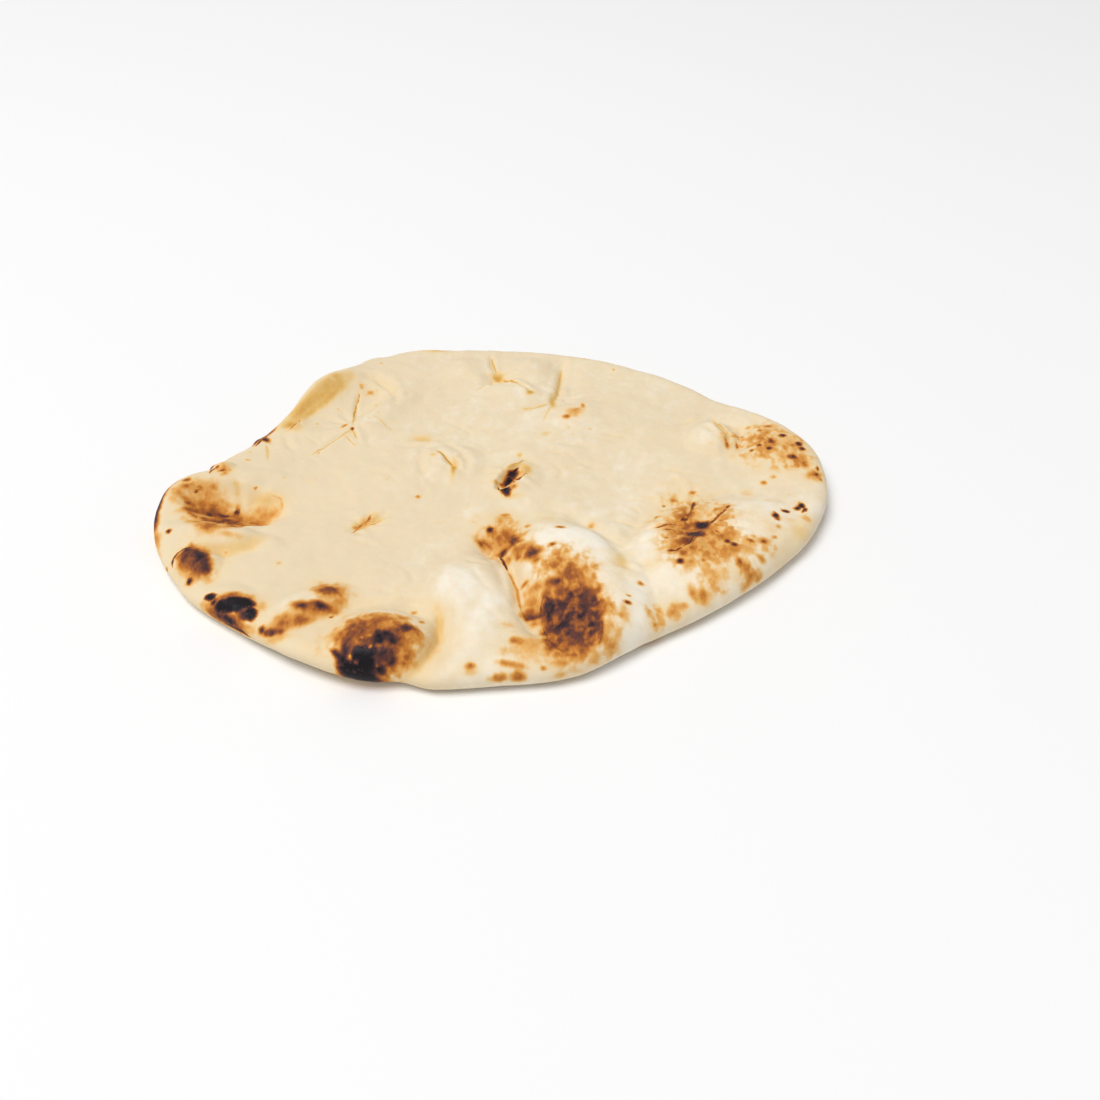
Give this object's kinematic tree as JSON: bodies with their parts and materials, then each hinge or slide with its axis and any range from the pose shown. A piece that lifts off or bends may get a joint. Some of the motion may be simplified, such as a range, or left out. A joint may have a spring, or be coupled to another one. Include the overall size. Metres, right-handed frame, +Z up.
{
  "type": "naan",
  "caption": "Hand-stretched oval leavened flatbread with a rounded rim, puffed blisters, pinched creases and charred patches, lying flat on its underside.",
  "frame": {"origin": "under the middle of the bread's outline, on the surface that its underside lies on", "axes": "+X along the longer way across, +Y towards the thin rim at the back, +Z up out of the upper face"},
  "size_m": [0.241, 0.208, 0.0144],
  "materials": {
    "crust": "matte cream bread skin with golden creases, brown toasted patches and black charred blisters"
  },
  "bodies": {
    "root": {"naan": "crust"}
  },
  "joints": []
}
